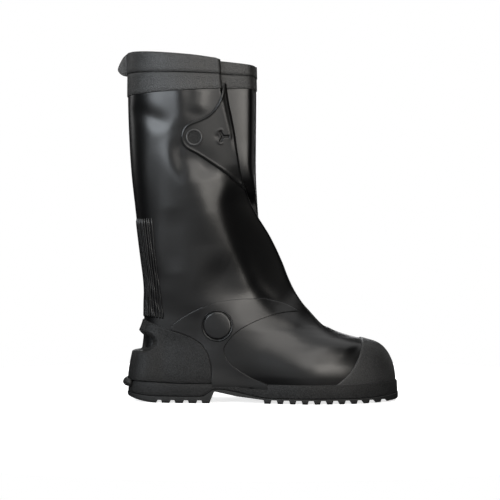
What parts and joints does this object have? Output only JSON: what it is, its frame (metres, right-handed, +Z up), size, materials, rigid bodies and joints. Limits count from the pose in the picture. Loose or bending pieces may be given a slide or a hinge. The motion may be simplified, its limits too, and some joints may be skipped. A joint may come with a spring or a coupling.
{
  "type": "pull-on overshoe boot",
  "caption": "Tall black moulded overshoe with a folded front gusset, button flap, ribbed ankle, grained collar, toe cap and heel counter on a lugged sole.",
  "frame": {"origin": "on the floor, at the middle of the bounding box in plan", "axes": "+X towards the toe, +Z up, -Y the outer side with the flap"},
  "size_m": [0.3484, 0.1138, 0.43],
  "materials": {
    "smooth_pvc": "satin moulded black",
    "grain_pvc": "fine matte grain, black",
    "cuff_pvc": "matte pebble grain, black",
    "flap_pvc": "satin moulded black",
    "sole_pvc": "semi-matte black"
  },
  "bodies": {
    "root": {"outsole": "sole_pvc", "foxing_band": "grain_pvc", "upper": "smooth_pvc", "toe_cap": "grain_pvc", "heel_counter": "grain_pvc", "kick_lug": "sole_pvc", "saddle_outer": "smooth_pvc", "saddle_inner": "smooth_pvc", "ankle_disc": "smooth_pvc", "back_ribs": "smooth_pvc", "cuff_lower": "cuff_pvc", "cuff_upper": "cuff_pvc", "pull_tab": "cuff_pvc", "closure_flap": "flap_pvc", "button_stud": "flap_pvc"}
  },
  "joints": []
}
